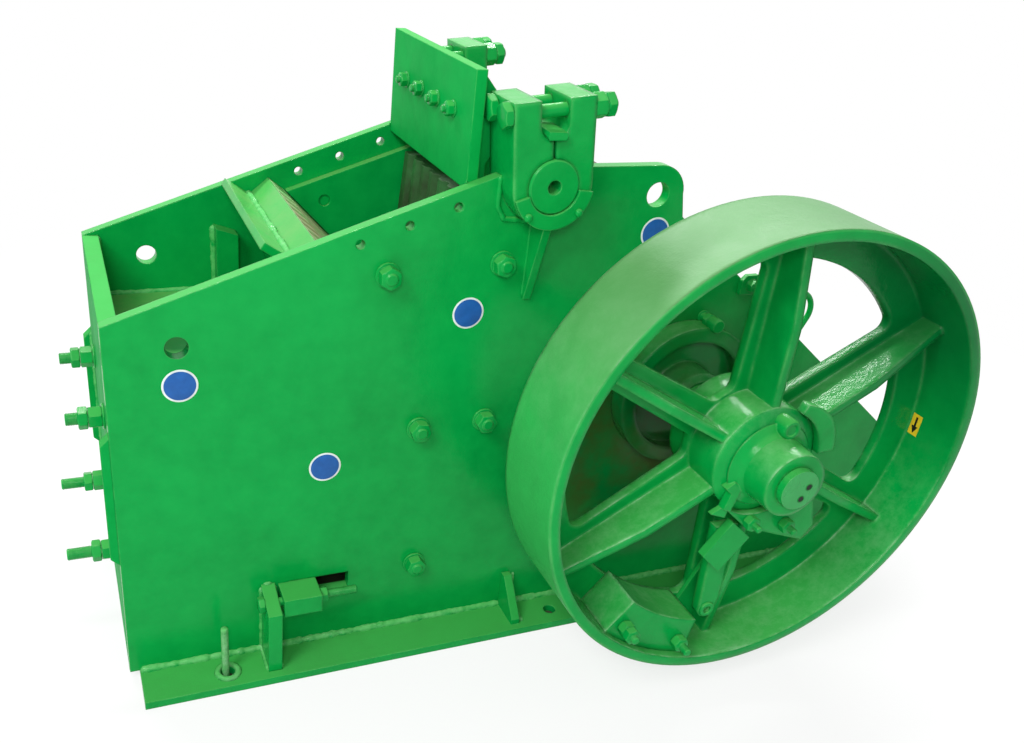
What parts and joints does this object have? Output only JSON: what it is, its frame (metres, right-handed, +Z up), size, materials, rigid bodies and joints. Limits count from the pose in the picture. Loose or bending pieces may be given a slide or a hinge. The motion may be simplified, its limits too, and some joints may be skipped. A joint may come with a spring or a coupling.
{
  "type": "jaw crusher",
  "caption": "Stationary jaw crusher with a hinged swing jaw, plate-built frame, spoked flywheel with a counterweight and a grooved drive sheave.",
  "frame": {"origin": "centre of the six anchor holes, in the plane of the base flanges' undersides", "axes": "+X along the machine from the feed end to the crankcase, +Y from the flywheel side to the drive sheave side, +Z up"},
  "size_m": [2.365, 1.626, 1.461],
  "materials": {
    "green_paint": "gloss",
    "bare_steel": "satin",
    "bare_iron": "rough"
  },
  "bodies": {
    "frame": {"base_flange_far": "green_paint", "base_flange_near": "green_paint", "bearing_housing_far": "green_paint", "bearing_housing_near": "green_paint", "bulkhead": "green_paint", "cheek_plate_far": "bare_iron", "cheek_plate_near": "bare_iron", "clamp_bolts_far": "green_paint", "clamp_bolts_near": "green_paint", "clamp_rib_far": "green_paint", "clamp_rib_near": "green_paint", "crankcase_floor": "green_paint", "feed_lip": "green_paint", "fixed_jaw_die": "bare_iron", "fixed_jaw_holder": "green_paint", "frame_bolts_far": "green_paint", "frame_bolts_near": "green_paint", "front_bar_far": "green_paint", "front_bar_near": "green_paint", "front_post_far": "green_paint", "front_post_near": "green_paint", "front_shelf": "green_paint", "front_wall": "green_paint", "guard_plate": "green_paint", "hinge_clamp_far": "green_paint", "hinge_clamp_near": "green_paint", "hinge_pin": "green_paint", "jaw_studs": "bare_steel", "lifting_eyes": "green_paint", "pin_keeper_far": "green_paint", "pin_keeper_near": "green_paint", "rear_cover": "green_paint", "rear_wall": "green_paint", "side_plate_far": "green_paint", "side_plate_near": "green_paint", "wedge_block_far": "green_paint", "wedge_block_near": "green_paint", "wedge_bolt_far": "bare_steel", "wedge_bolt_near": "bare_steel", "wedge_bracket_far": "green_paint", "wedge_bracket_near": "green_paint"},
    "crankshaft": {"eccentric_shaft": "bare_steel", "flywheel": "green_paint", "counterweight": "green_paint", "counterweight_arm": "green_paint", "counterweight_bar": "green_paint", "counterweight_plate": "green_paint", "counterweight_studs": "green_paint", "hub_collar": "green_paint", "hub_studs": "green_paint", "drive_sheave": "bare_iron"},
    "swing_jaw": {"swing_jaw": "green_paint", "swing_jaw_die": "bare_iron", "toggle_plate": "bare_steel"}
  },
  "joints": [
    {"name": "crankshaft_spin", "type": "hinge", "parent": "frame", "child": "crankshaft", "pos_m": [0.314, 0, 0.6615], "axis": [0, 1, 0], "continuous": true},
    {"name": "jaw_swing", "type": "hinge", "parent": "frame", "child": "swing_jaw", "pos_m": [-0.17, 0, 1.236], "axis": [0, 1, 0], "range_deg": [-0.7, 0.7]}
  ]
}
